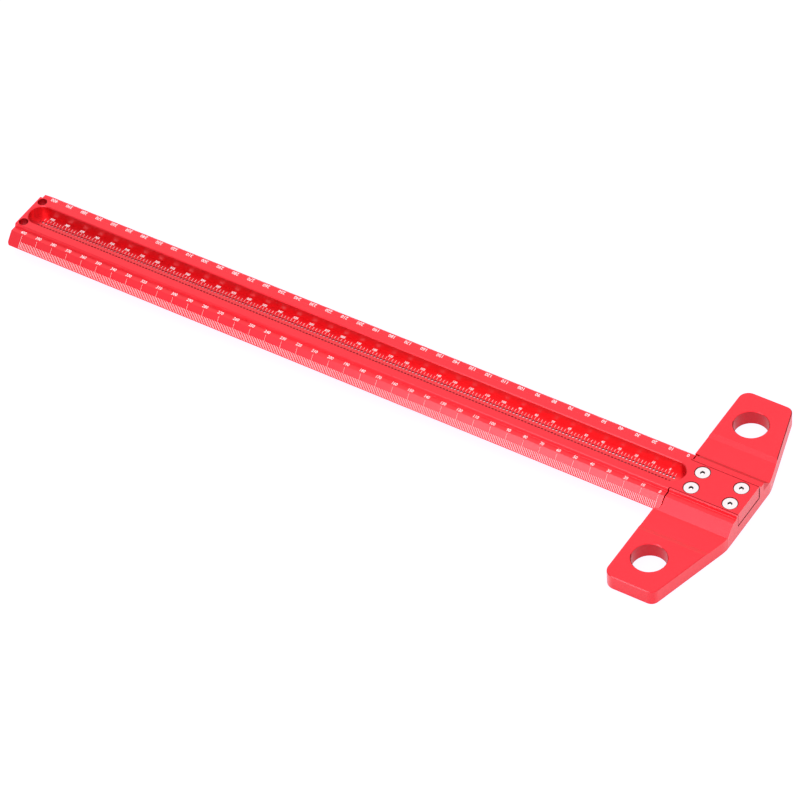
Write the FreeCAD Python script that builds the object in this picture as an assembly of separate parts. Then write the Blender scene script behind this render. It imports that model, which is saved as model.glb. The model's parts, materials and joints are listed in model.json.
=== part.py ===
"""T-square for woodworking: a 400 mm pencil-channel blade screwed into a grooved head.

Frame: millimetres, +X along the blade towards its tip, +Z up, +Y across the blade.
The origin is the zero of the scale: the point on the centreline where the head's
front face (the fence that runs along the workpiece) meets the blade's underside.
"""
import math
import os

import FreeCAD
import Part

V = FreeCAD.Vector

# Blade, across (Y) and up (Z)
BLADE_THICK = 8.4            # underside to the flat top of the raised rib
BLADE_HALF_WIDTH = 21.4      # centreline to the scale edge
RIB_HALF_WIDTH = 11.8        # flat top of the raised rib
RIB_EDGE = 0.3               # chamfer along the rib's top edges
RIB_FOOT_Y = 12.5           # where the rib's side meets its foot fillet
FOOT_RADIUS = 0.5
LEDGE_Z = 6.4               # the flat strip that carries the numbers
BEVEL_TOP_Y = 16.1           # the scale bevel starts here
EDGE_THICK = 0.4             # thickness left at the scale edge

# Blade, along (X)
TIP_X = 407.4
TIP_CORNER_RADIUS = 1.5
SHOULDER_X = -3.2            # the blade's full width ends here, inside the head
SHOULDER_RADIUS = 2.6
TONGUE_HALF_WIDTH = 10.9     # narrow part that runs through the head's groove
TONGUE_ROOT_RADIUS = 1.2

# Pencil channel milled into the rib, and the two staggered rows of guide holes
CHANNEL_HALF_WIDTH = 7.0
CHANNEL_DEPTH = 6.6
CHANNEL_START_X = -6.1
CHANNEL_END_X = 405.7
CHANNEL_EDGE = 0.45          # chamfer round the channel's mouth
GUIDE_RADIUS = 0.75
GUIDE_PITCH = 2.0            # along each row; the rows are one millimetre out of step
GUIDE_ROW_FAR_Y = -1.2       # holes at 1, 3, 5 ... mm
GUIDE_ROW_NEAR_Y = 1.9       # holes at 2, 4, 6 ... mm
GUIDE_COUNT = 200            # holes in each row
GUIDE_FLOOR = 1.1            # floor thickness left under the rows
RELIEF_HALF_WIDTH = 3.4      # shallow relief milled into the underside below the rows
RELIEF_MARGIN = 2.5          # how far the relief runs past the first and last hole

# Two holes at the blade's tip
TIP_HOLE_X = 404.0
TIP_HOLE_Y = 8.9
TIP_HOLE_RADIUS = 2.65

# Head
HEAD_DEPTH = 43.3            # front face to rear face, at the centre
HEAD_HALF_LENGTH = 73.4
HEAD_BOTTOM_Z = -7.3
PAD_TOP_Z = 1.95             # the raised outer pads
VALLEY_Z = 1.1               # the flat between the centre ridge and the pads
RIDGE_FOOT_Y = 22.0          # the ridge's slopes reach the valley here
PAD_EDGE_Y = 38.3            # the pads start here
PAD_STEP_RUN = 3.2           # width of the slope from the valley up to the pad
TAPER_START_Y = 23.5         # the rear face is straight up to here, then tapers
END_DEPTH = 29.2             # depth of the head at its ends
FRONT_CORNER_RADIUS = 5.8
REAR_CORNER_RADIUS = 4.6
TAPER_RADIUS = 20.0
HEAD_EDGE = 0.4              # chamfer round the head's outline, top and bottom

# Big round holes in the pads
PAD_HOLE_X = -15.5
PAD_HOLE_Y = 53.0
PAD_HOLE_RADIUS = 9.4
PAD_HOLE_EDGE = 0.4

# Fit of the blade in the head
GROOVE_CLEARANCE = 0.3       # each side of the blade and its tongue
SHOULDER_CLEARANCE = 0.7     # behind the shoulders, so that the groove alone squares the blade
TONGUE_REAR_EDGE = 0.4       # chamfer on the tongue's lower rear edge

# M4 countersunk hex-socket screws
SCREW_X_FRONT = -13.2
SCREW_X_REAR = -35.8
SCREW_Y = 6.0
SCREW_RADIUS = 2.0
SCREW_LENGTH = 12.0          # overall, head included
SCREW_HEAD_RADIUS = 3.85
SCREW_HEAD_LAND = 0.25       # short straight rim above the cone
SCREW_SUNK = 0.25            # how far the head sits below the blade's top
SCREW_POINT = 0.5            # chamfer on the point
SOCKET_ACROSS_FLATS = 2.5
SOCKET_DEPTH = 1.7
BLADE_HOLE_CLEARANCE = 0.25  # radial, screw shank in the blade
THREAD_CLEARANCE = 0.05      # radial, thread drawn at its outside diameter
THREAD_HOLE_SPARE = 1.2      # depth of the threaded hole past the screw's point


def rounded_wire(corners, z):
    """Closed wire through (x, y, radius) corners, each rounded to its own radius."""
    edges = []
    ends = []
    n = len(corners)
    for i, (x, y, r) in enumerate(corners):
        here = V(x, y, z)
        before = V(corners[i - 1][0], corners[i - 1][1], z)
        after = V(corners[(i + 1) % n][0], corners[(i + 1) % n][1], z)
        u = (before - here).normalize()
        v = (after - here).normalize()
        if r <= 0:
            ends.append((here, here))
            continue
        half = math.acos(max(-1.0, min(1.0, u.dot(v)))) / 2
        run = r / math.tan(half)
        middle = here + (u + v).normalize() * (r / math.sin(half) - r)
        start, stop = here + u * run, here + v * run
        edges.append(Part.Arc(start, middle, stop).toShape())
        ends.append((start, stop))
    for i in range(n):
        start, stop = ends[i][1], ends[(i + 1) % n][0]
        if start.distanceToPoint(stop) > 1e-6:
            edges.append(Part.LineSegment(start, stop).toShape())
    return Part.Wire(Part.__sortEdges__(edges))


def plate(corners, z_low, z_high):
    """Upright plate with a rounded outline."""
    face = Part.Face(rounded_wire(corners, z_low))
    return face.extrude(V(0, 0, z_high - z_low))


def slot(x_low, x_high, half_width, z_low, z_high):
    """Round-ended slot, built from a box and two cylinders."""
    height = z_high - z_low
    a, b = x_low + half_width, x_high - half_width
    body = Part.makeBox(b - a, 2 * half_width, height, V(a, -half_width, z_low))
    body = body.fuse([Part.makeCylinder(half_width, height, V(a, 0, z_low)),
                      Part.makeCylinder(half_width, height, V(b, 0, z_low))])
    return body.removeSplitter()


def flared_slot(x_low, x_high, half_width, z_low, flare):
    """The 45 degree mouth of a round-ended slot, flare deep and flare wide."""
    a, b = x_low + half_width, x_high - half_width
    wide = half_width + 2 * flare
    profile = [V(a, -half_width, z_low), V(a, half_width, z_low),
               V(a, wide, z_low + 2 * flare), V(a, -wide, z_low + 2 * flare)]
    middle = Part.Face(Part.makePolygon(profile + profile[:1])).extrude(V(b - a, 0, 0))
    cones = [Part.makeCone(half_width, wide, 2 * flare, V(x, 0, z_low)) for x in (a, b)]
    return middle.fuse(cones).removeSplitter()


def flank_edges(side):
    """Edges of the stepped upper surface on one side, from the rib's top to the bevel's
    start, in the YZ plane; both the blade and the ribs of the head have this section."""
    top = V(0, side * RIB_HALF_WIDTH, BLADE_THICK)
    edge = V(0, side * (RIB_HALF_WIDTH + RIB_EDGE), BLADE_THICK - RIB_EDGE)
    foot_top = V(0, side * RIB_FOOT_Y, LEDGE_Z + FOOT_RADIUS)
    foot_out = V(0, side * (RIB_FOOT_Y + FOOT_RADIUS), LEDGE_Z)
    lean = FOOT_RADIUS * (1 - math.sqrt(0.5))
    foot_mid = V(0, side * (RIB_FOOT_Y + lean), LEDGE_Z + lean)
    bevel = V(0, side * BEVEL_TOP_Y, LEDGE_Z)
    return [Part.LineSegment(top, edge).toShape(),
            Part.LineSegment(edge, foot_top).toShape(),
            Part.Arc(foot_top, foot_mid, foot_out).toShape(),
            Part.LineSegment(foot_out, bevel).toShape()]


def stepped_bar(x_low, x_high, outer_y, outer_z, floor_z):
    """Bar along X: the stepped section, its bevel running out to (outer_y, outer_z)."""
    edges = flank_edges(1) + flank_edges(-1)
    edges.append(Part.LineSegment(V(0, RIB_HALF_WIDTH, BLADE_THICK),
                                  V(0, -RIB_HALF_WIDTH, BLADE_THICK)).toShape())
    for side in (1, -1):
        bevel = V(0, side * BEVEL_TOP_Y, LEDGE_Z)
        outer = V(0, side * outer_y, outer_z)
        base = V(0, side * outer_y, floor_z)
        edges.append(Part.LineSegment(bevel, outer).toShape())
        edges.append(Part.LineSegment(outer, base).toShape())
    edges.append(Part.LineSegment(V(0, outer_y, floor_z), V(0, -outer_y, floor_z)).toShape())
    face = Part.Face(Part.Wire(Part.__sortEdges__(edges)))
    face.translate(V(x_low, 0, 0))
    return face.extrude(V(x_high - x_low, 0, 0))


def blade_root(grow, gap):
    """Corners of the blade's plan behind the fence line: shoulders and tongue, as the
    left half of a closed outline. For the matching recess in the head, grow widens it
    sideways and gap moves its shoulders back."""
    half, tongue = BLADE_HALF_WIDTH + grow, TONGUE_HALF_WIDTH + grow
    shoulder, rear = SHOULDER_X - gap, -HEAD_DEPTH - (1.0 if grow else 0.0)
    outer, inner = SHOULDER_RADIUS + grow, TONGUE_ROOT_RADIUS - grow
    return [(shoulder, half, outer), (shoulder, tongue, inner), (rear, tongue, 0),
            (rear, -tongue, 0), (shoulder, -tongue, inner), (shoulder, -half, outer)]


def blade():
    """The ruler: stepped section, bevelled scale edges, channel, holes and tongue."""
    bar = stepped_bar(-HEAD_DEPTH, TIP_X, BLADE_HALF_WIDTH, EDGE_THICK, 0)
    plan = [(TIP_X, -BLADE_HALF_WIDTH, TIP_CORNER_RADIUS),
            (TIP_X, BLADE_HALF_WIDTH, TIP_CORNER_RADIUS)] + blade_root(0, 0)
    body = bar.common(plate(plan, -1, BLADE_THICK + 1))
    floor_z = BLADE_THICK - CHANNEL_DEPTH
    tools = [slot(CHANNEL_START_X, CHANNEL_END_X, CHANNEL_HALF_WIDTH,
                  floor_z, BLADE_THICK + 1),
             flared_slot(CHANNEL_START_X, CHANNEL_END_X, CHANNEL_HALF_WIDTH,
                         BLADE_THICK - CHANNEL_EDGE, CHANNEL_EDGE)]
    first, last = 1.0, GUIDE_PITCH * GUIDE_COUNT
    relief = slot(first - RELIEF_MARGIN, last + RELIEF_MARGIN, RELIEF_HALF_WIDTH,
                  -1, floor_z - GUIDE_FLOOR)
    relief.translate(V(0, (GUIDE_ROW_FAR_Y + GUIDE_ROW_NEAR_Y) / 2, 0))
    tools += [relief, rear_edge_cutter()]
    for side in (1, -1):
        tools.append(Part.makeCylinder(TIP_HOLE_RADIUS, BLADE_THICK + 2,
                                       V(TIP_HOLE_X, side * TIP_HOLE_Y, -1)))
    for x, y in screw_places().values():
        tools.append(screw_hole_in_blade(x, y))
    body = body.cut(tools)
    guides = []
    for i in range(GUIDE_COUNT):
        for y, x in ((GUIDE_ROW_FAR_Y, 1 + GUIDE_PITCH * i),
                     (GUIDE_ROW_NEAR_Y, 2 + GUIDE_PITCH * i)):
            guides.append(Part.makeCylinder(GUIDE_RADIUS, floor_z + 1,
                                            V(x, y, floor_z - GUIDE_FLOOR - 0.5)))
    return body.cut(Part.makeCompound(guides))


def rear_edge_cutter():
    """Wedge that breaks the tongue's lower rear edge."""
    x, edge = -HEAD_DEPTH, TONGUE_REAR_EDGE
    y = -TONGUE_HALF_WIDTH - 1
    points = [V(x - 1, y, -1), V(x + edge + 1, y, -1), V(x - 1, y, edge + 1)]
    return Part.Face(Part.makePolygon(points + points[:1])).extrude(V(0, -2 * y, 0))


def screw_places():
    """Centre of each screw, by name; near is +Y."""
    return {"screw_front_near": (SCREW_X_FRONT, SCREW_Y),
            "screw_front_far": (SCREW_X_FRONT, -SCREW_Y),
            "screw_rear_near": (SCREW_X_REAR, SCREW_Y),
            "screw_rear_far": (SCREW_X_REAR, -SCREW_Y)}


def screw_hole_in_blade(x, y):
    """Clearance hole and 90 degree countersink that the screw's cone seats on."""
    radius = SCREW_RADIUS + BLADE_HOLE_CLEARANCE
    hole = Part.makeCylinder(radius, BLADE_THICK + 2, V(x, y, -1))
    # The cone keeps the slope of the screw's head, so its mouth is wider by the depth
    # at which the head sits.
    mouth = SCREW_HEAD_RADIUS + SCREW_SUNK + SCREW_HEAD_LAND
    depth = mouth - radius
    cone = Part.makeCone(radius, mouth + 1, depth + 1, V(x, y, BLADE_THICK - depth))
    return hole.fuse(cone)


def head_outline():
    """Corners of the head in plan: straight front, rear tapering to narrower ends."""
    return [(0, HEAD_HALF_LENGTH, FRONT_CORNER_RADIUS),
            (-END_DEPTH, HEAD_HALF_LENGTH, REAR_CORNER_RADIUS),
            (-HEAD_DEPTH, TAPER_START_Y, TAPER_RADIUS),
            (-HEAD_DEPTH, -TAPER_START_Y, TAPER_RADIUS),
            (-END_DEPTH, -HEAD_HALF_LENGTH, REAR_CORNER_RADIUS),
            (0, -HEAD_HALF_LENGTH, FRONT_CORNER_RADIUS)]


def valley_cutter():
    """Removes everything above the valley between the two outer pads."""
    high = PAD_TOP_Z + 5
    rise = PAD_TOP_Z - VALLEY_Z
    foot = PAD_EDGE_Y - PAD_STEP_RUN
    top = PAD_EDGE_Y + PAD_STEP_RUN * (high - PAD_TOP_Z) / rise
    x = -HEAD_DEPTH - 5
    points = [V(x, -foot, VALLEY_Z), V(x, foot, VALLEY_Z), V(x, top, high), V(x, -top, high)]
    return Part.Face(Part.makePolygon(points + points[:1])).extrude(V(HEAD_DEPTH + 10, 0, 0))


def pad_hole(y):
    """Big through hole with a chamfer at both rims."""
    height = PAD_TOP_Z - HEAD_BOTTOM_Z
    hole = Part.makeCylinder(PAD_HOLE_RADIUS, height + 2, V(PAD_HOLE_X, y, HEAD_BOTTOM_Z - 1))
    rim = 2 * PAD_HOLE_EDGE
    upper = Part.makeCone(PAD_HOLE_RADIUS, PAD_HOLE_RADIUS + rim, rim,
                          V(PAD_HOLE_X, y, PAD_TOP_Z - PAD_HOLE_EDGE))
    lower = Part.makeCone(PAD_HOLE_RADIUS + rim, PAD_HOLE_RADIUS, rim,
                          V(PAD_HOLE_X, y, HEAD_BOTTOM_Z - PAD_HOLE_EDGE))
    return hole.fuse([upper, lower])


def screw_point_z():
    """Height of the screws' points."""
    return BLADE_THICK - SCREW_SUNK - SCREW_LENGTH


def head():
    """The stock: outline plate with pads, centre ridge, groove, recess and holes."""
    body = plate(head_outline(), HEAD_BOTTOM_Z, PAD_TOP_Z)
    rim = [e for e in body.Edges
           if abs(e.BoundBox.ZLength) < 1e-6]
    body = body.makeChamfer(HEAD_EDGE, rim)
    body = body.cut(valley_cutter())
    ridge = stepped_bar(-HEAD_DEPTH, 0, RIDGE_FOOT_Y, VALLEY_Z, HEAD_BOTTOM_Z + 2)
    body = body.fuse(ridge).removeSplitter()
    recess = blade_root(GROOVE_CLEARANCE, SHOULDER_CLEARANCE)
    front = [(1.0, -BLADE_HALF_WIDTH - GROOVE_CLEARANCE, 0),
             (1.0, BLADE_HALF_WIDTH + GROOVE_CLEARANCE, 0)]
    tools = [plate(front + recess, 0, BLADE_THICK + 1), pad_hole(PAD_HOLE_Y),
             pad_hole(-PAD_HOLE_Y)]
    depth = -screw_point_z() + THREAD_HOLE_SPARE
    for x, y in screw_places().values():
        tools.append(Part.makeCylinder(SCREW_RADIUS + THREAD_CLEARANCE, depth + 1,
                                       V(x, y, -depth)))
    return body.cut(tools)


def hexagon(across_flats, z, depth, x, y):
    """Hexagonal prism, going down from z."""
    r = across_flats / math.sqrt(3)
    points = [V(x + r * math.cos(math.radians(60 * i)),
                y + r * math.sin(math.radians(60 * i)), z) for i in range(6)]
    return Part.Face(Part.makePolygon(points + points[:1])).extrude(V(0, 0, -depth))


def screw(x, y):
    """Countersunk screw: cone, shank and hexagonal socket with a drilled end."""
    top = BLADE_THICK - SCREW_SUNK
    cone_top = top - SCREW_HEAD_LAND
    cone_low = cone_top - (SCREW_HEAD_RADIUS - SCREW_RADIUS)
    point = screw_point_z()
    half = [V(0, 0, point), V(SCREW_RADIUS - SCREW_POINT, 0, point),
            V(SCREW_RADIUS, 0, point + SCREW_POINT), V(SCREW_RADIUS, 0, cone_low),
            V(SCREW_HEAD_RADIUS, 0, cone_top), V(SCREW_HEAD_RADIUS, 0, top), V(0, 0, top)]
    body = Part.Face(Part.makePolygon(half + half[:1])).revolve(V(0, 0, 0), V(0, 0, 1), 360)
    body.translate(V(x, y, 0))
    socket = hexagon(SOCKET_ACROSS_FLATS, top + 1, SOCKET_DEPTH + 1, x, y)
    drill = SOCKET_ACROSS_FLATS / 2
    end = Part.makeCone(0, drill, drill * 0.5, V(x, y, top - SOCKET_DEPTH - drill * 0.5))
    return Part.Solid(body.Solids[0]).cut([socket, end])


def main():
    """Build every piece and write one STEP file for each."""
    os.makedirs("parts", exist_ok=True)
    pieces = {"blade": blade(), "head": head()}
    for name, (x, y) in screw_places().items():
        pieces[name] = screw(x, y)
    for name, shape in pieces.items():
        solid = shape.Solids[0]
        solid.exportStep(os.path.join("parts", name + ".step"))
        box = solid.BoundBox
        print("%-18s solids %d  %8.1f mm3  x %.1f..%.1f  y %.1f..%.1f  z %.1f..%.1f"
              % (name, len(shape.Solids), solid.Volume, box.XMin, box.XMax,
                 box.YMin, box.YMax, box.ZMin, box.ZMax))


main()
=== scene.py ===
"""Woodworking T-square: a red anodised blade with engraved scales, screwed to its head."""
import json
from math import atan2, cos, pi, radians, sin
import bmesh
import bpy
from mathutils import Matrix, Quaternion, Vector


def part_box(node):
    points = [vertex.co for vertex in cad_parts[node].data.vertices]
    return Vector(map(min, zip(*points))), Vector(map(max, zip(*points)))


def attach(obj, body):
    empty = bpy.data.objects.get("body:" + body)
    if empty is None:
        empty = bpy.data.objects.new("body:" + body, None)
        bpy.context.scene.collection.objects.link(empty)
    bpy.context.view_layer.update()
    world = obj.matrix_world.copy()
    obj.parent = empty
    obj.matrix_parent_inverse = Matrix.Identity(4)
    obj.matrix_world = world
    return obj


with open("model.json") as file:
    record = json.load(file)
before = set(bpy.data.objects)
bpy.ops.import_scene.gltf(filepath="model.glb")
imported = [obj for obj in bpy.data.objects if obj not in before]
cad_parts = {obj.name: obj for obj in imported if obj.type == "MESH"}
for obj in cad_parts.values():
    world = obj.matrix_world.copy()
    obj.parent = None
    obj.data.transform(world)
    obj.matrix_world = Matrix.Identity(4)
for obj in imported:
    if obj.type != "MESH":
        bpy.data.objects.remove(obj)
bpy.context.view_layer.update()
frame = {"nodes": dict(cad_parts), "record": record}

# Blade: a 400 mm aluminium bar, milled to a stepped section with a pencil channel along
# its middle, then bead blasted and dyed red in the anodising bath. The dyed oxide is clear,
# so the metal shows red through it and the skin itself gives a paler, softer shine.
mounts = {m["name"]: m for m in frame["record"]["mounts"]}
blade_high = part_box("blade")[1]


def add(tree, kind, inputs=None, **settings):
    """A shader node with its settings; each input is a value or the socket that feeds it."""
    node = tree.nodes.new("ShaderNode" + kind)
    for name, value in settings.items():
        setattr(node, name, value)
    for name, value in (inputs or {}).items():
        if isinstance(value, bpy.types.NodeSocket):
            tree.links.new(value, node.inputs[name])
        else:
            node.inputs[name].default_value = value
    return node


def maths(tree, operation, *values):
    """The result of a Math node; each value is a number or a socket."""
    return add(tree, "Math", dict(enumerate(values)), operation=operation).outputs[0]


def effect(name, inputs, outputs):
    """An empty node group with these sockets, what it is given and its output node."""
    group = bpy.data.node_groups.new(name, "ShaderNodeTree")
    for label, kind in inputs:
        group.interface.new_socket(label, in_out="INPUT", socket_type="NodeSocket" + kind)
    for label, kind in outputs:
        group.interface.new_socket(label, in_out="OUTPUT", socket_type="NodeSocket" + kind)
    given = group.nodes.new("NodeGroupInput").outputs
    return group, given, group.nodes.new("NodeGroupOutput")


def use(tree, group, **inputs):
    """The outputs of a node group placed in a tree with these inputs."""
    return add(tree, "Group", inputs, node_tree=group).outputs


# Blasted skin: tiny dents from the beads, dye that took a little unevenly, and a few paler
# rubbed specks.
blasted, given, made = effect(
    "blasted skin",
    [("Point", "Vector"), ("Dye", "Color"), ("Rubbed", "Color"), ("Roughness", "Float"),
     ("Marks", "Float"), ("Dent", "Float")],
    [("Colour", "Color"), ("Roughness", "Float"), ("Normal", "Vector")])
dents = add(blasted, "TexNoise", {"Vector": given["Point"], "Scale": 5200, "Detail": 3})
patches = add(blasted, "TexNoise", {"Vector": given["Point"], "Scale": 38, "Detail": 4})
specks = add(blasted, "TexNoise", {"Vector": given["Point"], "Scale": 1700, "Detail": 2})
uneven = add(blasted, "MapRange", {"Value": patches.outputs["Fac"], "From Min": 0.35,
                                   "From Max": 0.7, "To Max": 0.35})
speckled = add(blasted, "MapRange", {"Value": specks.outputs["Fac"], "From Min": 0.55,
                                     "From Max": 0.75, "To Max": 0.3})
worn = maths(blasted, "ADD", uneven.outputs[0], speckled.outputs[0])
dyed = add(blasted, "Mix", {"Factor": worn, "A": given["Dye"], "B": given["Rubbed"]},
           data_type="RGBA")
spread = add(blasted, "MapRange", {"Value": patches.outputs["Fac"], "From Min": 0.3,
                                   "From Max": 0.7, "To Min": -0.03, "To Max": 0.03})
relief = maths(blasted, "ADD", dents.outputs["Fac"], given["Marks"])
dented = add(blasted, "Bump", {"Height": relief, "Strength": given["Dent"],
                               "Distance": 0.00002})
blasted.links.new(dyed.outputs["Result"], made.inputs["Colour"])
blasted.links.new(maths(blasted, "ADD", given["Roughness"], spread.outputs[0]),
                  made.inputs["Roughness"])
blasted.links.new(dented.outputs[0], made.inputs["Normal"])

# Bored wall: the fine rings that a boring tool leaves on the wall of an upright hole. The
# wall is told from the faces around it by its distance from the hole's axis.
wall_band = 0.00008
bored, given, made = effect(
    "bored wall",
    [("Point", "Vector"), ("Centre", "Vector"), ("Radius", "Float"), ("Pitch", "Float")],
    [("Wall", "Float"), ("Rings", "Float")])
offset = add(bored, "VectorMath", {0: given["Point"], 1: given["Centre"]},
             operation="SUBTRACT")
level = add(bored, "VectorMath", {0: offset.outputs[0], 1: (1, 1, 0)}, operation="MULTIPLY")
reach = add(bored, "VectorMath", {0: level.outputs[0]}, operation="LENGTH")
on_wall = maths(bored, "COMPARE", reach.outputs["Value"], given["Radius"], wall_band)
height = add(bored, "SeparateXYZ", {0: given["Point"]}).outputs["Z"]
turns = maths(bored, "MULTIPLY", maths(bored, "DIVIDE", height, given["Pitch"]), 2 * pi)
bored.links.new(on_wall, made.inputs["Wall"])
bored.links.new(maths(bored, "MULTIPLY", maths(bored, "SINE", turns), on_wall),
                made.inputs["Rings"])

# Screw reach: how far a point is from the axis of the nearest of the four screws.
screwed, given, made = effect("screw reach", [("Point", "Vector")], [("Reach", "Float")])
front, rear = (sum(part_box(f"screw_{end}_near"), Vector()) / 2 for end in ("front", "rear"))
parts = add(screwed, "SeparateXYZ", {0: given["Point"]}).outputs
centred = maths(screwed, "SUBTRACT", parts["X"], (front.x + rear.x) / 2)
along = maths(screwed, "SUBTRACT", maths(screwed, "ABSOLUTE", centred),
              (front.x - rear.x) / 2)
across = maths(screwed, "SUBTRACT", maths(screwed, "ABSOLUTE", parts["Y"]), front.y)
level = add(screwed, "CombineXYZ", {"X": along, "Y": across})
reach = add(screwed, "VectorMath", {0: level.outputs[0]}, operation="LENGTH")
screwed.links.new(reach.outputs["Value"], made.inputs["Reach"])

# Joint walls: the upright walls where the tongue lies in the head's groove, and the edges
# under the tongue's rear end. These gaps are painted dark, partly as fine dust gathered in
# them and partly as painted shade in the gaps, most of all along the near side and in the
# rear far corner.
seam_y, seam_half, seam_front = 0.01105, 0.00026, -0.003
rear_x, rear_half = -0.0431, 0.00025
under_z, under_half = 0.00005, 0.0006
corner_y, corner_half, corner_z = -0.0111, 0.0005, 0.0033
mean_dust_and_shade, dust_and_shade_swing = 0.55, 0.45
jointed, given, made = effect("joint walls", [("Point", "Vector"), ("Facing", "Vector")],
                              [("Dust_and_shade", "Float")])
parts = add(jointed, "SeparateXYZ", {0: given["Point"]}).outputs
facing = add(jointed, "SeparateXYZ", {0: given["Facing"]}).outputs["Z"]
out = maths(jointed, "ABSOLUTE", parts["Y"])
groove = maths(jointed, "MULTIPLY", maths(jointed, "COMPARE", out, seam_y, seam_half),
               maths(jointed, "LESS_THAN", parts["X"], seam_front))
at_rear = maths(jointed, "LESS_THAN", parts["X"], rear_x + 0.0001)
swap = maths(jointed, "SUBTRACT", dust_and_shade_swing,
             maths(jointed, "MULTIPLY", 2 * dust_and_shade_swing, at_rear))
uneven = maths(jointed, "MULTIPLY", swap, maths(jointed, "SIGN", parts["Y"]))
groove = maths(jointed, "MULTIPLY", groove, maths(jointed, "ADD", mean_dust_and_shade, uneven))
upright = maths(jointed, "COMPARE", facing, 0.0, 0.3)
off_floor = maths(jointed, "GREATER_THAN", parts["Z"], 0.0001)
walls = maths(jointed, "MULTIPLY", groove, maths(jointed, "MULTIPLY", upright, off_floor))
under = maths(jointed, "MULTIPLY", maths(jointed, "LESS_THAN", out, seam_y + 0.0002),
              maths(jointed, "COMPARE", parts["Z"], under_z, under_half))
under = maths(jointed, "MULTIPLY", under, 0.75)
corner = maths(jointed, "MULTIPLY",
               maths(jointed, "COMPARE", parts["Y"], corner_y, corner_half),
               maths(jointed, "COMPARE", parts["Z"], corner_z, corner_z))
behind = maths(jointed, "MULTIPLY", maths(jointed, "COMPARE", parts["X"], rear_x, rear_half),
               maths(jointed, "MAXIMUM", under, corner))
jointed.links.new(maths(jointed, "MAXIMUM", walls, behind), made.inputs["Dust_and_shade"])

# Guide walls: the sides of the small holes in the channel's floor, at odd millimetres in
# the far row and even ones in the near row. They are painted dark as shade in the holes.
guide_rows = {side: mounts[f"guide_row_{side}"] for side in ("far", "near")}
guide_radius = guide_rows["far"]["dims"]["hole_r_mm"] / 1000
rows_middle = (guide_rows["far"]["pos_m"][0] + guide_rows["near"]["pos_m"][0]) / 2
rows_half = guide_rows["far"]["dims"]["spacing_x_mm"] / 2000 + 0.0016
millimetre = 0.001
guided, given, made = effect("guide walls", [("Point", "Vector")], [("Wall", "Float")])
parts = add(guided, "SeparateXYZ", {0: given["Point"]}).outputs
even = maths(guided, "PINGPONG", parts["X"], millimetre)
odd = maths(guided, "SUBTRACT", millimetre, even)
reaches = []
for away, side in ((odd, "far"), (even, "near")):
    across = maths(guided, "SUBTRACT", parts["Y"], guide_rows[side]["pos_m"][1])
    level = add(guided, "CombineXYZ", {"X": away, "Y": across})
    reach = add(guided, "VectorMath", {0: level.outputs[0]}, operation="LENGTH")
    reaches.append(reach.outputs["Value"])
wall = maths(guided, "LESS_THAN", maths(guided, "MINIMUM", *reaches), guide_radius + 0.00002)
wall = maths(guided, "MULTIPLY", wall,
             maths(guided, "COMPARE", parts["X"], rows_middle, rows_half))
guided.links.new(wall, made.inputs["Wall"])

# Zones of the blade: the inside of the pencil channel, the streaks that the cutter left
# on its end wall, and the strip along each edge where the laser's short lines stand close
# together and have dulled the skin between them.
channel_half, channel_floor, channel_top = 0.00706, 0.0018, 0.0080
channel_end, strip_from, scale_length = 0.4005, 0.0188, 0.4
zoned, given, made = effect("blade zones", [("Point", "Vector")],
                            [("Channel", "Float"), ("Dull", "Float"), ("Streaks", "Float")])
parts = add(zoned, "SeparateXYZ", {0: given["Point"]}).outputs
out = maths(zoned, "ABSOLUTE", parts["Y"])
depth = maths(zoned, "COMPARE", parts["Z"], (channel_top + channel_floor) / 2,
              (channel_top - channel_floor) / 2)
inside = maths(zoned, "MULTIPLY", maths(zoned, "LESS_THAN", out, channel_half), depth)
strip = maths(zoned, "MULTIPLY", maths(zoned, "GREATER_THAN", out, strip_from),
              maths(zoned, "COMPARE", parts["X"], scale_length / 2,
                    scale_length / 2 + 0.0002))
streaks = add(zoned, "TexNoise", {"W": parts["Y"], "Scale": 420, "Detail": 1},
              noise_dimensions="1D")
streaks = add(zoned, "MapRange", {"Value": streaks.outputs["Fac"], "From Min": 0.42,
                                  "From Max": 0.58, "To Max": 0.6})
at_end = maths(zoned, "MULTIPLY", inside,
               maths(zoned, "GREATER_THAN", parts["X"], channel_end))
zoned.links.new(maths(zoned, "MULTIPLY", at_end, streaks.outputs[0]), made.inputs["Streaks"])
zoned.links.new(inside, made.inputs["Channel"])
zoned.links.new(strip, made.inputs["Dull"])


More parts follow.
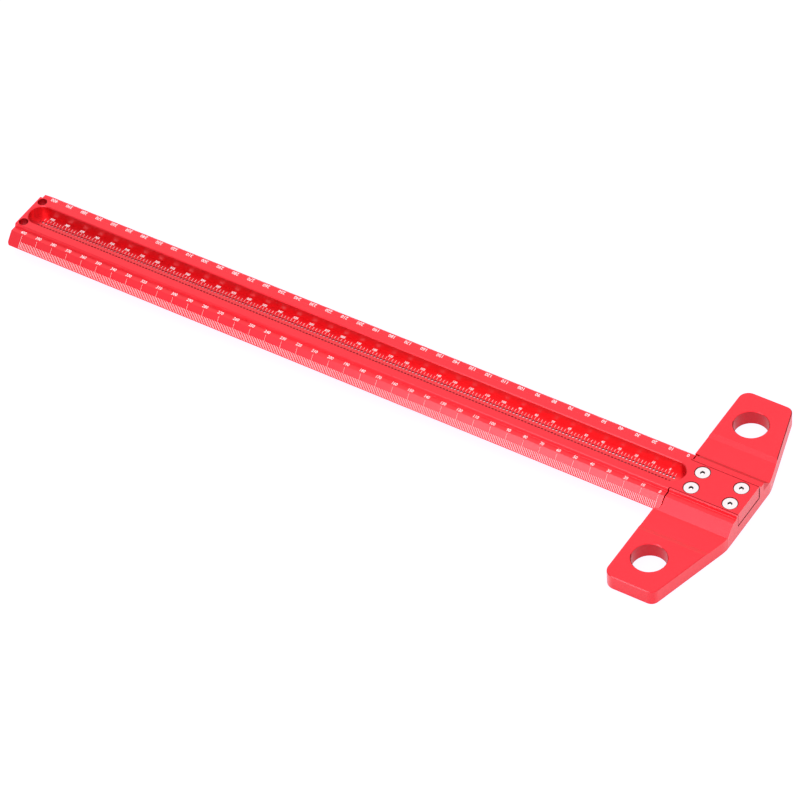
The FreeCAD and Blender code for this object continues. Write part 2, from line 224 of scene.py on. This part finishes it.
def anodised(name, hole, ruled):
    """Dyed and anodised aluminium, with tool marks and painted shade on the wall of an
    upright hole and its mirror twin, and dust and painted shade in the joints. The ruled
    part also has its channel, painted shade in its countersinks and guide holes, and the
    dull strip under its short lines; the other has its far rear rim and the ridge's far
    bevel painted darker as shade."""
    material = bpy.data.materials.new(name)
    material.use_nodes = True
    tree = material.node_tree
    skin = tree.nodes["Principled BSDF"]
    skin.inputs["Metallic"].default_value = 1.0
    skin.inputs["Coat Roughness"].default_value = 0.22
    skin.inputs["Coat IOR"].default_value = 1.5
    red, rubbed_red = (0.97, 0.003, 0.022, 1), (0.97, 0.012, 0.034, 1)
    channel_red, streak_red = (0.89, 0.026, 0.042, 1), (0.50, 0.012, 0.025, 1)
    ring_and_shade_red, dust_and_shade_red = (0.45, 0.01, 0.02, 1), (0.10, 0.002, 0.004, 1)
    place = add(tree, "TexCoord").outputs
    point = place["Object"]
    parts = add(tree, "SeparateXYZ", {0: point}).outputs
    folded = add(tree, "CombineXYZ", {"X": parts["X"], "Z": parts["Z"],
                                      "Y": maths(tree, "ABSOLUTE", parts["Y"])})
    marks = use(tree, bored, Point=folded.outputs[0], Centre=hole[0], Radius=hole[1],
                Pitch=0.0009)

    dye = red
    if ruled:
        zones = use(tree, zoned, Point=point)
        for zone, tone in (("Channel", channel_red), ("Streaks", streak_red)):
            dye = add(tree, "Mix", {"Factor": zones[zone], "A": dye, "B": tone},
                      data_type="RGBA").outputs["Result"]
    surface = use(tree, blasted, Point=point, Dye=dye, Rubbed=rubbed_red, Roughness=0.42,
                  Marks=marks["Rings"], Dent=0.35)
    # Painted shade on the hole wall: the whole wall is painted darker, more so on the tool's
    # rings.
    darker = add(tree, "MapRange", {"Value": marks["Rings"], "From Min": -1.0,
                                    "From Max": 1.0, "To Min": 0.25, "To Max": 0.75})
    darker = maths(tree, "MULTIPLY", darker.outputs[0], marks["Wall"])
    turned = add(tree, "Mix", {"Factor": darker, "A": surface["Colour"], "B": ring_and_shade_red},
                 data_type="RGBA")

    # Where the skin is dark and dull: each mask with how dark it is painted, as dust or as
    # painted shade, and how much of the clear skin's shine it has lost.
    joints = use(tree, jointed, Point=point, Facing=place["Normal"])["Dust_and_shade"]
    spots = [(joints, 1.0, 0.9), (marks["Wall"], 0.0, 0.4)]
    if ruled:
        # Painted shade: the countersinks around the screws and the walls of the guide holes
        # are painted dark.
        sink_radius, sink_half = 0.0036, 0.00074
        reach = use(tree, screwed, Point=point)["Reach"]
        sunk = maths(tree, "COMPARE", reach, sink_radius, sink_half)
        spots += [(sunk, 0.85, 0.765), (use(tree, guided, Point=point)["Wall"], 0.42, 0.378),
                  (zones["Dull"], 0.0, 0.5)]
    else:
        # Painted shade on the head: a dark line along the far rear rim, and the far side of
        # the ridge's bevel painted slightly darker.
        rim_z, rim_half = 0.00176, 0.00023
        ridge_y, ridge_wide, ridge_z, ridge_high = -0.0187, 0.0030, 0.0037, 0.0026
        facing = add(tree, "SeparateXYZ", {0: place["Normal"]}).outputs
        rim = maths(tree, "MULTIPLY", maths(tree, "COMPARE", parts["Z"], rim_z, rim_half),
                    maths(tree, "LESS_THAN", facing["X"], -0.25))
        rim = maths(tree, "MULTIPLY", rim, maths(tree, "LESS_THAN", facing["Y"], -0.15))
        bevel = maths(tree, "MULTIPLY",
                      maths(tree, "COMPARE", parts["Y"], ridge_y, ridge_wide),
                      maths(tree, "COMPARE", parts["Z"], ridge_z, ridge_high))
        spots += [(rim, 0.75, 0.8), (bevel, 0.24, 0.6)]
    dust_and_shade, dull = 0.0, 0.0
    for mask, dirt_and_shade, loss in spots:
        dust_and_shade = maths(tree, "MAXIMUM", dust_and_shade, maths(tree, "MULTIPLY", mask, dirt_and_shade))
        dull = maths(tree, "MAXIMUM", dull, maths(tree, "MULTIPLY", mask, loss))

    # Dust and painted shade darken the colour towards a dark red.
    darkened = add(tree, "Mix", {"Factor": dust_and_shade, "A": turned.outputs["Result"], "B": dust_and_shade_red},
                data_type="RGBA")
    glancing = add(tree, "LayerWeight", {"Blend": 0.5}).outputs["Facing"]
    edge_on = add(tree, "MapRange", {"Value": glancing, "From Min": 0.82, "From Max": 0.90})
    dull = maths(tree, "MAXIMUM", dull, edge_on.outputs[0])
    tree.links.new(darkened.outputs["Result"], skin.inputs["Base Color"])
    tree.links.new(maths(tree, "ADD", surface["Roughness"],
                         maths(tree, "MULTIPLY", dust_and_shade, 0.3)), skin.inputs["Roughness"])
    tree.links.new(maths(tree, "SUBTRACT", 1.0, dull), skin.inputs["Coat Weight"])
    tree.links.new(surface["Normal"], skin.inputs["Normal"])
    return material


tip = mounts["tip_holes"]
tip_hole = (tip["pos_m"][0], tip["dims"]["spacing_y_mm"] / 2000, 0)
blade_skin = anodised("anodised blade", (tip_hole, tip["dims"]["hole_r_mm"] / 1000), True)
frame["nodes"]["blade"].data.materials.clear()
frame["nodes"]["blade"].data.materials.append(blade_skin)

# Edge scales: laser marks that bleach the dye to white, on both sides of the blade. A line
# every millimetre runs down the bevel to the edge, a longer one every ten, and the numbers
# from 0 to 400 stand on the flat ledge above it.
edge_y, edge_z = blade_high.y, 0.0004
bevel_y, ledge_z = edge_y - 0.0053, blade_high.z - 0.0020
mark_thick = 0.00003

laser_white = bpy.data.materials.new("laser white")
laser_white.use_nodes = True
tree = laser_white.node_tree
chalk = tree.nodes["Principled BSDF"]
point = add(tree, "TexCoord").outputs["Object"]
burn = add(tree, "TexNoise", {"Vector": point, "Scale": 4000, "Detail": 3})
tone = add(tree, "Mix", {"Factor": burn.outputs["Fac"], "A": (0.97, 0.86, 0.90, 1),
                         "B": (0.95, 0.93, 0.97, 1)}, data_type="RGBA")
pits = add(tree, "Bump", {"Height": burn.outputs["Fac"], "Strength": 0.4,
                          "Distance": 0.00002})
dull = add(tree, "MapRange", {"Value": burn.outputs["Fac"], "To Min": 0.55, "To Max": 0.75})
tree.links.new(tone.outputs["Result"], chalk.inputs["Base Color"])
tree.links.new(dull.outputs[0], chalk.inputs["Roughness"])
tree.links.new(pits.outputs[0], chalk.inputs["Normal"])


def strokes(bm, places, width, start, stop):
    """Thin bars, one for each x in places, each running from start to stop in (y, z)."""
    run = Vector((0, stop[0] - start[0], stop[1] - start[1]))
    middle = (start[0] + stop[0]) / 2, (start[1] + stop[1]) / 2
    lean = Matrix.Rotation(atan2(run.z, run.y), 4, "X")
    size = Matrix.Diagonal((width, run.length, mark_thick, 1))
    for x in places:
        at = Matrix.Translation((x, *middle))
        bmesh.ops.create_cube(bm, size=1, matrix=at @ lean @ size)


def numbers(bm, values, height, narrow, bold, spot, turn):
    """Each value in millimetres, written at its own place along the blade in narrowed bold
    figures of this height; spot is where a zero would stand, turn the way it faces."""
    pen = bpy.data.curves.new("number", "FONT")
    pen.size = height / 0.7
    pen.align_x, pen.align_y = "CENTER", "CENTER"
    pen.resolution_u = 2
    pen.offset = bold
    pen.extrude = mark_thick / 2
    holder = bpy.data.objects.new("number", pen)
    bpy.context.scene.collection.objects.link(holder)
    for value in values:
        pen.body = str(value)
        bpy.context.view_layer.update()
        shape = bpy.data.meshes.new_from_object(
            holder.evaluated_get(bpy.context.evaluated_depsgraph_get()))
        before = len(bm.verts)
        bm.from_mesh(shape)
        bm.verts.ensure_lookup_table()
        place = (Matrix.Translation((spot[0] + value / 1000, spot[1], spot[2]))
                 @ Matrix.Rotation(turn, 4, "Z") @ Matrix.Diagonal((narrow, 1, 1, 1)))
        bmesh.ops.transform(bm, matrix=place, verts=bm.verts[before:])
        bpy.data.meshes.remove(shape)
    bpy.data.objects.remove(holder)
    bpy.data.curves.remove(pen)


def piece(name, bm, material):
    """Turns a finished bmesh into a named piece that rides on the T-square."""
    mesh = bpy.data.meshes.new(name)
    bmesh.ops.remove_doubles(bm, verts=bm.verts, dist=1e-7)
    bm.to_mesh(mesh)
    bm.free()
    mesh.materials.append(material)
    made = bpy.data.objects.new(name, mesh)
    bpy.context.scene.collection.objects.link(made)
    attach(made, "root")


slope = (edge_z - ledge_z) / (edge_y - bevel_y)
long_top, long_foot, short_foot = 0.0004, 0.0027, 0.00526
near_inset, far_inset = 0.00147, 0.00149
ones = [x / 1000 for x in range(401)]
tens = [x / 1000 for x in range(0, 401, 10)]
for side, name, turn, height, narrow, bold, spot in (
        (1, "near", pi, 0.0020, 0.82, 0.00003, (0.00015, bevel_y - near_inset, ledge_z)),
        (-1, "far", 0.0, 0.0022, 0.89, 0.00005, (0.0, far_inset - bevel_y, ledge_z))):
    bm = bmesh.new()
    for places, width, top, foot in ((ones, 0.00020, long_foot, short_foot),
                                     (tens, 0.00009, long_top, long_foot)):
        strokes(bm, places, width, (side * (bevel_y + top), ledge_z + slope * top),
                (side * (bevel_y + foot), ledge_z + slope * foot))
    piece(f"edge_lines_{name}", bm, laser_white)
    bm = bmesh.new()
    numbers(bm, range(0, 401, 10), height, narrow, bold, spot, turn)
    piece(f"edge_numbers_{name}", bm, laser_white)

# Channel scales: the same laser marks on the channel's floor, one line beside every guide
# hole. The far side counts the odd millimetres with a number at 5, 15, 25 and so on, and
# the near side the even ones, numbered every ten.
line_width, line_top, line_foot, figure_y = 0.00019, 0.0011, 0.0030, 0.0041
figure_height, figure_shift = 0.0014, 0.00045
for side, name, odd, first in ((-1, "far", 1, 5), (1, "near", 0, 10)):
    row_y = guide_rows[name]["pos_m"][1]
    bm = bmesh.new()
    places = [x / 1000 for x in range(2 - odd, 401, 2)]
    strokes(bm, places, line_width, (row_y + side * line_top, channel_floor),
            (row_y + side * line_foot, channel_floor))
    numbers(bm, range(first, 401, 10), figure_height, 0.95, 0.00011,
            (figure_shift, row_y + side * figure_y, channel_floor), pi)
    piece(f"channel_scale_{name}", bm, laser_white)

# Head: the stock, milled from a thicker aluminium bar with two raised pads and a groove
# for the blade's tongue, then blasted and dyed with the blade. Each pad has a large bored
# hole to hold or hang the square by.
hole = mounts["hanging_hole_near"]
pad_hole = (hole["pos_m"][0], hole["pos_m"][1], 0)
head_skin = anodised("anodised head", (pad_hole, hole["dims"]["r_mm"] / 1000), False)
frame["nodes"]["head"].data.materials.clear()
frame["nodes"]["head"].data.materials.append(head_skin)

# Screws: four M4 countersunk steel screws, turned bright, that clamp the tongue down into
# the groove. The walls of the pressed hexagon in each head are painted dark as shade in the
# socket, and its bottom keeps the bright steel.
screw_steel = bpy.data.materials.new("screw steel")
screw_steel.use_nodes = True
tree = screw_steel.node_tree
steel = tree.nodes["Principled BSDF"]
steel.inputs["Metallic"].default_value = 1.0
screw_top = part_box("screw_front_near")[1].z
point = add(tree, "TexCoord").outputs["Object"]
depth = maths(tree, "SUBTRACT", screw_top, add(tree, "SeparateXYZ", {0: point}).outputs["Z"])
reach = use(tree, screwed, Point=point)["Reach"]
rings = add(tree, "TexNoise", {"W": reach, "Scale": 9000, "Detail": 2},
            noise_dimensions="1D")
# Painted shade: the socket walls are painted dark below the rim, and the bottom is left
# bright.
walls = add(tree, "MapRange", {"Value": depth, "From Min": 0.00005, "From Max": 0.0003})
bottom = add(tree, "MapRange", {"Value": depth, "From Min": 0.0014, "From Max": 0.0017})
dark = maths(tree, "SUBTRACT", walls.outputs[0], bottom.outputs[0])
# Painted reflection: the bright steel is tinted pink as if it reflected the red head around
# it.
tint = add(tree, "Mix", {"Factor": dark, "A": (0.96, 0.86, 0.875, 1),
                         "B": (0.13, 0.12, 0.115, 1)}, data_type="RGBA")
polish = add(tree, "MapRange", {"Value": rings.outputs["Fac"], "To Min": 0.16,
                                "To Max": 0.34})
turned = add(tree, "Bump", {"Height": rings.outputs["Fac"], "Strength": 0.25,
                            "Distance": 0.00001})
tree.links.new(tint.outputs["Result"], steel.inputs["Base Color"])
tree.links.new(polish.outputs[0], steel.inputs["Roughness"])
tree.links.new(turned.outputs[0], steel.inputs["Normal"])
for end in ("front", "rear"):
    for side in ("near", "far"):
        node = frame["nodes"][f"screw_{end}_{side}"]
        node.data.materials.clear()
        node.data.materials.append(screw_steel)

# Studio: a plain pale floor under the head, with a painted shadow below the blade that
# deepens towards the tip, and a white surround that is brightest overhead and dim past the
# blade's tip, which shades the far part of the channel.
floor_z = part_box("head")[0].z - 0.0001
bm = bmesh.new()
bmesh.ops.create_grid(bm, x_segments=1, y_segments=1, size=4,
                      matrix=Matrix.Translation((0.15, 0, floor_z)))
mesh = bpy.data.meshes.new("floor")
bm.to_mesh(mesh)
bm.free()
floor = bpy.data.objects.new("floor", mesh)
bpy.context.scene.collection.objects.link(floor)
paper = bpy.data.materials.new("paper floor")
paper.use_nodes = True
tree = paper.node_tree
tree.nodes.remove(tree.nodes["Principled BSDF"])
matte = add(tree, "BsdfDiffuse", {"Color": (0.82, 0.82, 0.82, 1)})
glow = add(tree, "Emission", {"Color": (1, 1, 1.15, 1), "Strength": 1.10})
rays = add(tree, "LightPath").outputs
spot = add(tree, "SeparateXYZ", {0: add(tree, "TexCoord").outputs["Object"]}).outputs
# Painted shadow: below the blade the floor glows less for the camera, and less still towards
# the tip.
shade_half, shade_end = 0.013, 0.402
below = maths(tree, "LESS_THAN", maths(tree, "ABSOLUTE", spot["Y"]), shade_half)
below = maths(tree, "MULTIPLY", below, maths(tree, "LESS_THAN", spot["X"], shade_end))
outward = add(tree, "MapRange", {"Value": spot["X"], "From Min": 0.03, "From Max": 0.33,
                                 "To Min": 0.80, "To Max": 0.25})
direct = add(tree, "Mix", {"Factor": below, "A": 0.80, "B": outward.outputs[0]})
lift = maths(tree, "ADD", maths(tree, "MULTIPLY", rays["Is Camera Ray"], direct.outputs[0]),
             maths(tree, "MULTIPLY", rays["Is Glossy Ray"], 0.4))
lit = add(tree, "MixShader", {0: lift, 1: matte.outputs[0], 2: glow.outputs[0]})
tree.links.new(lit.outputs[0], tree.nodes["Material Output"].inputs["Surface"])
mesh.materials.append(paper)

scene = bpy.context.scene
scene.view_settings.view_transform = "Standard"
scene.world = bpy.data.worlds.new("surround")
scene.world.use_nodes = True
tree = scene.world.node_tree
way = add(tree, "TexCoord").outputs["Generated"]
past_tip = Vector((0.66, 0.30, 0.69))
shade = add(tree, "VectorMath", {0: way, 1: past_tip}, operation="DOT_PRODUCT")
dim = add(tree, "MapRange", {"Value": shade.outputs["Value"], "From Min": 0.84,
                             "From Max": 0.955, "To Max": 1.0},
          interpolation_type="SMOOTHSTEP")
rise = add(tree, "SeparateXYZ", {0: way}).outputs["Z"]
high = add(tree, "MapRange", {"Value": rise, "From Min": 0.45, "From Max": 0.60},
           interpolation_type="SMOOTHSTEP")
dim = maths(tree, "MULTIPLY", dim.outputs[0], high.outputs[0])
low = add(tree, "MapRange", {"Value": rise, "From Min": 0.30, "From Max": 0.65,
                             "To Min": 0.82, "To Max": 1.04},
          interpolation_type="SMOOTHSTEP")
above = add(tree, "MapRange", {"Value": rise, "From Min": 0.80, "From Max": 0.93,
                               "To Max": 0.65}, interpolation_type="SMOOTHSTEP")
sky = maths(tree, "MULTIPLY", maths(tree, "ADD", low.outputs[0], above.outputs[0]),
            maths(tree, "SUBTRACT", 1.0, dim))
seen = add(tree, "LightPath").outputs["Is Camera Ray"]
sky = maths(tree, "MULTIPLY", sky, maths(tree, "SUBTRACT", 1.0, seen))
sky = maths(tree, "ADD", sky, seen)
tree.links.new(sky, tree.nodes["Background"].inputs["Strength"])
tree.nodes["Background"].inputs["Color"].default_value = (1, 1, 1, 1)

# Softboxes: a wide one over the near side, whose reflection pales the near bevel at the
# head's end, and a square one above it that lights the channel's far wall there.
aim = Vector((0.05, 0, 0))
for name, place, width, depth, power in (("wide", (0.16, 0.72, 0.43), 0.72, 0.16, 1.44),
                                         ("upper", (0.32, 0.53, 0.65), 0.40, 0.40, 0.7)):
    lamp = bpy.data.lights.new(f"softbox_{name}", "AREA")
    lamp.shape, lamp.size, lamp.size_y, lamp.energy = "RECTANGLE", width, depth, power
    box = bpy.data.objects.new(f"softbox_{name}", lamp)
    scene.collection.objects.link(box)
    box.location = place
    box.rotation_mode = "QUATERNION"
    box.rotation_quaternion = (Vector(place) - aim).to_track_quat("Z", "Y")

# Camera: a long lens above the near side, behind the head, looking down the blade.
lens = bpy.data.cameras.new("camera")
lens.sensor_width, lens.lens = 36, 195.37
lens.clip_start, lens.clip_end = 0.1, 50
camera = bpy.data.objects.new("camera", lens)
scene.collection.objects.link(camera)
azimuth, elevation, roll = radians(215.637), radians(45.678), radians(-4.94)
back = Vector((sin(azimuth) * cos(elevation), -cos(azimuth) * cos(elevation),
               sin(elevation)))
camera.location = (-0.77216, 1.31140, 1.62931)
camera.rotation_mode = "QUATERNION"
camera.rotation_quaternion = back.to_track_quat("Z", "Y") @ Quaternion((0, 0, 1), roll)
scene.camera = camera
